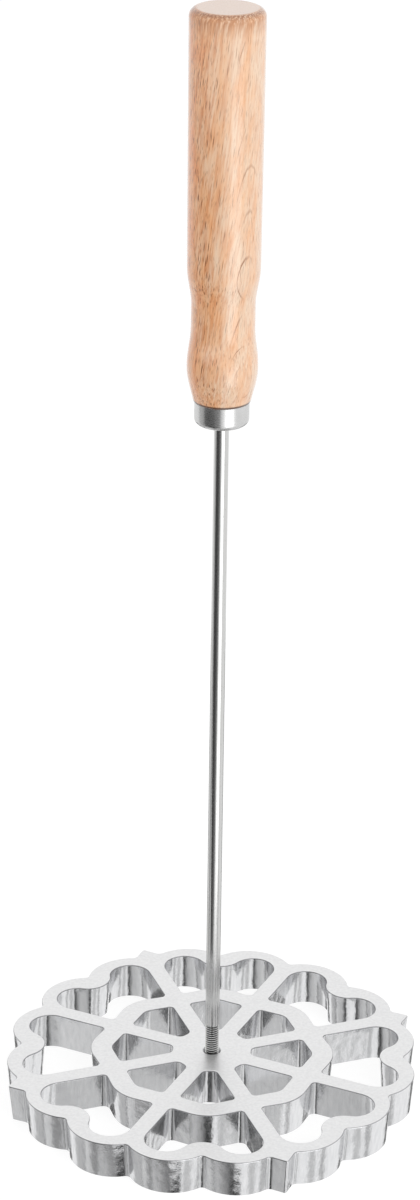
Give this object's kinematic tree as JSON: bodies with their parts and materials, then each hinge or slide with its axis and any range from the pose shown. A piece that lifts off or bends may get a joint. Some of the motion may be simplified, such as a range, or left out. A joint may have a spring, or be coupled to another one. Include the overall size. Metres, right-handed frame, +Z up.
{
  "type": "rosette iron",
  "caption": "Hand iron for deep-fried rosette pastry: a lobed cast head with heart-shaped cells, screwed on a long round rod with a turned wooden handle.",
  "frame": {"origin": "middle of the rosette's flat underside, on the rod's axis", "axes": "+Z up along the rod, from the rosette to the handle; the middles of four heart-shaped cells lie on +X, +Y, -X and -Y"},
  "size_m": [0.1158, 0.1158, 0.315],
  "materials": {
    "cast_aluminium": "sand-cast walls with a ground satin top face",
    "drawn_steel": "bright drawn stainless bar",
    "pressed_steel": "bright pressed stainless cup",
    "turned_beech": "turned and sanded beech under a thin clear varnish"
  },
  "bodies": {
    "head": {"rosette": "cast_aluminium"},
    "collar": {"ferrule": "pressed_steel"},
    "grip": {"rod": "drawn_steel", "handle": "turned_beech"}
  },
  "joints": [
    {"name": "screw_travel", "type": "slide", "parent": "head", "child": "collar", "axis": [0, 0, 1], "range_m": [0, 0.0091]},
    {"name": "screw_turn", "type": "hinge", "parent": "collar", "child": "grip", "pos_m": [0, 0, 0.2], "axis": [0, 0, 1], "range_deg": [0, 4680]}
  ],
  "couplings": [
    {"joint": "screw_turn", "follows": "screw_travel", "rad_per_m": 8976}
  ]
}
